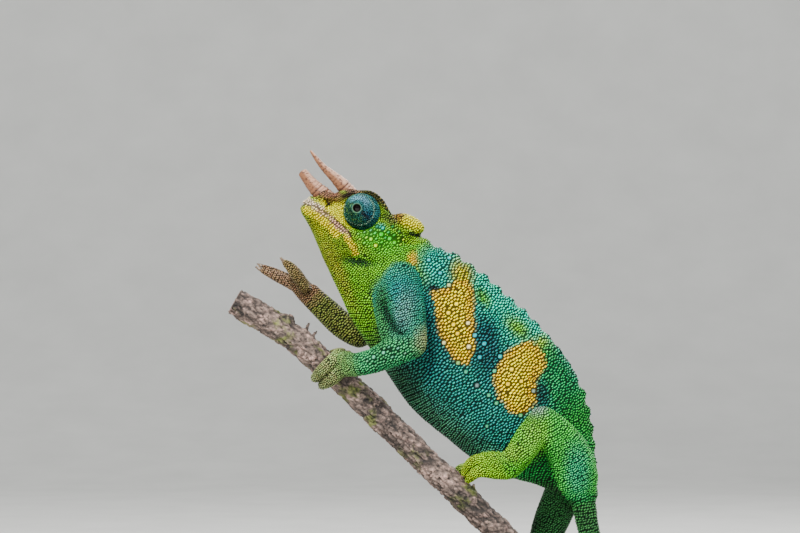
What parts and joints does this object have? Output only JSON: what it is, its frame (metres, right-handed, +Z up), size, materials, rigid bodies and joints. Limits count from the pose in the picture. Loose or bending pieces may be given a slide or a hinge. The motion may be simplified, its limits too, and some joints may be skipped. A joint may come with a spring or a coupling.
{
  "type": "three-horned chameleon",
  "caption": "Life-size still model of a male three-horned chameleon climbing a short cut branch, with a curled tail, held by a plain display stand.",
  "frame": {"origin": "centre of the underside of the stand's base", "axes": "+Z up, +X towards the tail and -X where the head climbs, -Y towards the animal's left side"},
  "size_m": [0.1634, 0.096, 0.2111],
  "materials": {
    "skin": "beaded scales in green, turquoise and yellow over dark skin",
    "eye_turret": "fine blue-green granules",
    "eye": "wet gloss",
    "horn": "ringed horn, satin",
    "bark": "rough bark",
    "stand_wood": "dark satin varnish",
    "stand_steel": "brushed"
  },
  "bodies": {
    "root": {"head": "skin", "lower_jaw": "skin", "neck": "skin", "torso": "skin", "pelvis": "skin", "tail_1": "skin", "tail_2": "skin", "tail_3": "skin", "tail_4": "skin", "tail_5": "skin", "tail_6": "skin", "tail_7": "skin", "left_upper_arm": "skin", "left_forearm": "skin", "left_hand": "skin", "left_hand_outer_toes": "skin", "left_hand_inner_toes": "skin", "right_upper_arm": "skin", "right_forearm": "skin", "right_hand": "skin", "right_hand_outer_toes": "skin", "right_hand_inner_toes": "skin", "left_thigh": "skin", "left_shank": "skin", "left_foot": "skin", "left_foot_outer_toes": "skin", "left_foot_inner_toes": "skin", "right_thigh": "skin", "right_shank": "skin", "right_foot": "skin", "right_foot_outer_toes": "skin", "right_foot_inner_toes": "skin", "left_eye_turret": "eye_turret", "right_eye_turret": "eye_turret", "left_eye": "eye", "right_eye": "eye", "nose_horn": "horn", "left_brow_horn": "horn", "right_brow_horn": "horn", "branch": "bark", "stand_base": "stand_wood", "stand_rod": "stand_steel", "stand_collar": "stand_steel"}
  },
  "joints": []
}
